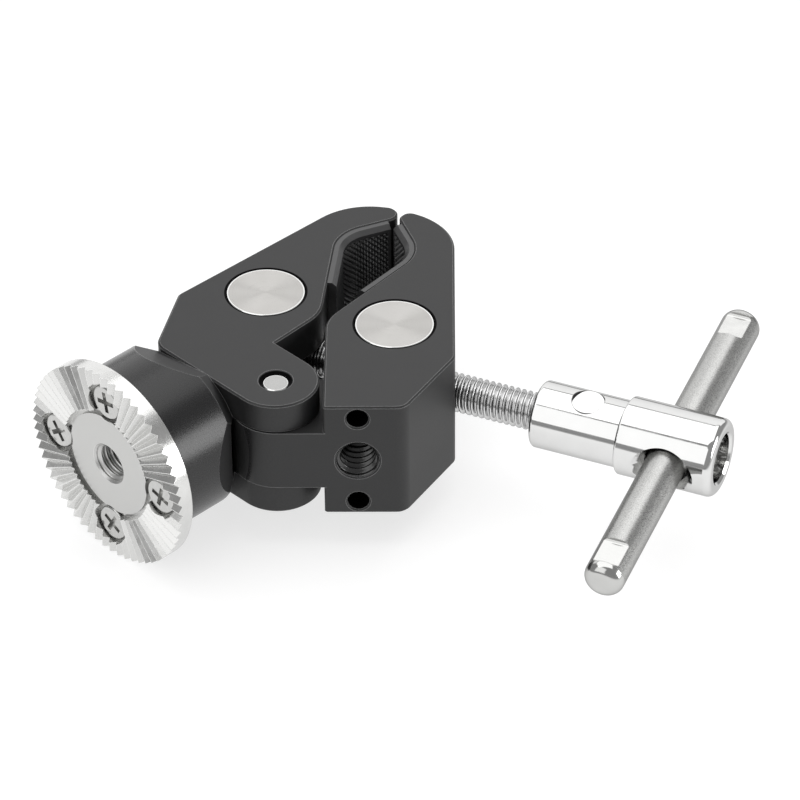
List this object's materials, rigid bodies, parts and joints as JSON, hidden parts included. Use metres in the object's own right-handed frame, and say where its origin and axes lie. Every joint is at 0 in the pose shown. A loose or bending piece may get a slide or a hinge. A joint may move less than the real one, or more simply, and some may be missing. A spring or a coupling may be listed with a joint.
{
  "type": "super clamp",
  "caption": "Small jaw clamp closed by a T-handle screw, with rubber-lined jaws, a tripod-thread end face and a toothed rosette disc on an angled stem.",
  "frame": {"origin": "centre of the tripod thread's mouth, in the plane of the right jaw's end face", "axes": "+Z is parallel to the pivot pin and to both trunnions and is square to the flat sides of the jaws; -Y leaves the tripod thread, and +Y points to the jaw tips; +X is towards the T-handle"},
  "size_m": [0.1079, 0.0764, 0.0318],
  "materials": {
    "black_anodised": "matte black anodised",
    "polished_steel": "polished",
    "grip_rubber": "matte, knurled",
    "turned_steel": "face-turned",
    "screw_steel": "bright thread",
    "fitting_steel": "plated",
    "hub_chrome": "polished",
    "bar_steel": "satin",
    "rosette_steel": "bright machined"
  },
  "bodies": {
    "right_jaw": {"right_jaw": "black_anodised", "right_pad": "grip_rubber"},
    "left_jaw": {"left_jaw": "black_anodised", "left_pad": "grip_rubber", "pivot_pin": "polished_steel", "rosette_disc": "rosette_steel", "rosette_screws": "fitting_steel"},
    "left_trunnion": {"left_trunnion": "turned_steel", "thrust_washer": "fitting_steel"},
    "right_trunnion": {"right_trunnion": "turned_steel"},
    "screw": {"clamp_screw": "screw_steel", "screw_end_ring": "fitting_steel", "handle_hub": "hub_chrome", "hub_cross_pin": "hub_chrome"},
    "handle_bar": {"handle_bar": "bar_steel"}
  },
  "joints": [
    {"name": "jaw_pivot", "type": "hinge", "parent": "right_jaw", "child": "left_jaw", "pos_m": [-0.01194, 0.00657, 0], "axis": [0, 0, 1], "range_deg": [-0.05, 37.95]},
    {"name": "left_trunnion_turn", "type": "hinge", "parent": "left_jaw", "child": "left_trunnion", "pos_m": [-0.01402, 0.02857, 0], "axis": [0, 0, 1], "range_deg": [-19, 0.05]},
    {"name": "screw_turn", "type": "hinge", "parent": "left_trunnion", "child": "screw", "pos_m": [-0.01402, 0.02857, 0], "axis": [-0.9215, 0.3883, 0], "range_deg": [0, 4140]},
    {"name": "right_trunnion_turn", "type": "hinge", "parent": "right_jaw", "child": "right_trunnion", "pos_m": [0.00526, 0.02045, 0], "axis": [0, 0, 1], "range_deg": [-0.05, 19]},
    {"name": "bar_slide", "type": "slide", "parent": "screw", "child": "handle_bar", "axis": [-0.3861, -0.9163, -0.1063], "range_m": [-0.0165, 0.016]}
  ],
  "couplings": [
    {"joint": "jaw_pivot", "follows": "screw_turn", "ratio": 0.0091546},
    {"joint": "left_trunnion_turn", "follows": "screw_turn", "ratio": -0.0045773},
    {"joint": "right_trunnion_turn", "follows": "screw_turn", "ratio": 0.0045773}
  ]
}
